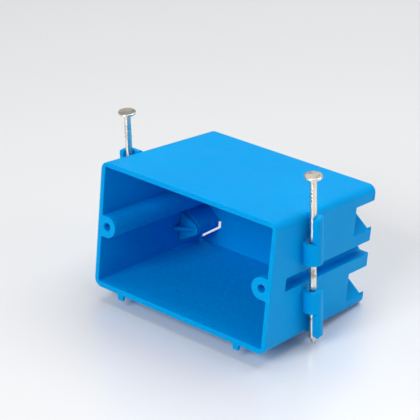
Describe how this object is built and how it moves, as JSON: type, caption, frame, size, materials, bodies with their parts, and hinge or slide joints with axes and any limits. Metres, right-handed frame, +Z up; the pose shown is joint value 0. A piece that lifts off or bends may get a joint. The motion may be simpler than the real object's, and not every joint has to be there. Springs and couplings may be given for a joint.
{
  "type": "electrical junction box",
  "caption": "Nail-on plastic wall box: open-front shell with screw bosses, sprung cable clamps in the back-corner entries, and slanted nails captive in channels on its ends",
  "frame": {"origin": "on the ground below the middle of the bounding box, level with the nail points", "axes": "+X along the long side, from one nail to the other; -Y out of the open front; +Z up, from the stud side towards the nail heads"},
  "size_m": [0.1068, 0.0716, 0.0789],
  "materials": {
    "box_plastic": "satin, as moulded",
    "nail_steel": "bright, drawn wire"
  },
  "bodies": {
    "box": {"box_body": "box_plastic"},
    "nail_left": {"nail_left": "nail_steel"},
    "nail_right": {"nail_right": "nail_steel"},
    "cable_clamp_left_lower": {"cable_clamp_left_lower": "box_plastic"},
    "cable_clamp_left_upper": {"cable_clamp_left_upper": "box_plastic"},
    "cable_clamp_right_lower": {"cable_clamp_right_lower": "box_plastic"},
    "cable_clamp_right_upper": {"cable_clamp_right_upper": "box_plastic"}
  },
  "joints": [
    {"name": "nail_left_drive", "type": "slide", "parent": "box", "child": "nail_left", "axis": [0, 0.1633, -0.9866], "range_m": [-0.011, 0.016]},
    {"name": "nail_right_drive", "type": "slide", "parent": "box", "child": "nail_right", "axis": [0, 0.1633, -0.9866], "range_m": [-0.011, 0.016]},
    {"name": "cable_clamp_left_lower_flex", "type": "hinge", "parent": "box", "child": "cable_clamp_left_lower", "pos_m": [-0.0354, 0.01865, 0.0178], "axis": [0, 0, 1], "range_deg": [0, 50], "stiffness_Nm_per_rad": 0.1},
    {"name": "cable_clamp_left_upper_flex", "type": "hinge", "parent": "box", "child": "cable_clamp_left_upper", "pos_m": [-0.0354, 0.01865, 0.0481], "axis": [0, 0, 1], "range_deg": [0, 50], "stiffness_Nm_per_rad": 0.1},
    {"name": "cable_clamp_right_lower_flex", "type": "hinge", "parent": "box", "child": "cable_clamp_right_lower", "pos_m": [0.0354, 0.01865, 0.0178], "axis": [0, 0, -1], "range_deg": [0, 50], "stiffness_Nm_per_rad": 0.1},
    {"name": "cable_clamp_right_upper_flex", "type": "hinge", "parent": "box", "child": "cable_clamp_right_upper", "pos_m": [0.0354, 0.01865, 0.0481], "axis": [0, 0, -1], "range_deg": [0, 50], "stiffness_Nm_per_rad": 0.1}
  ]
}
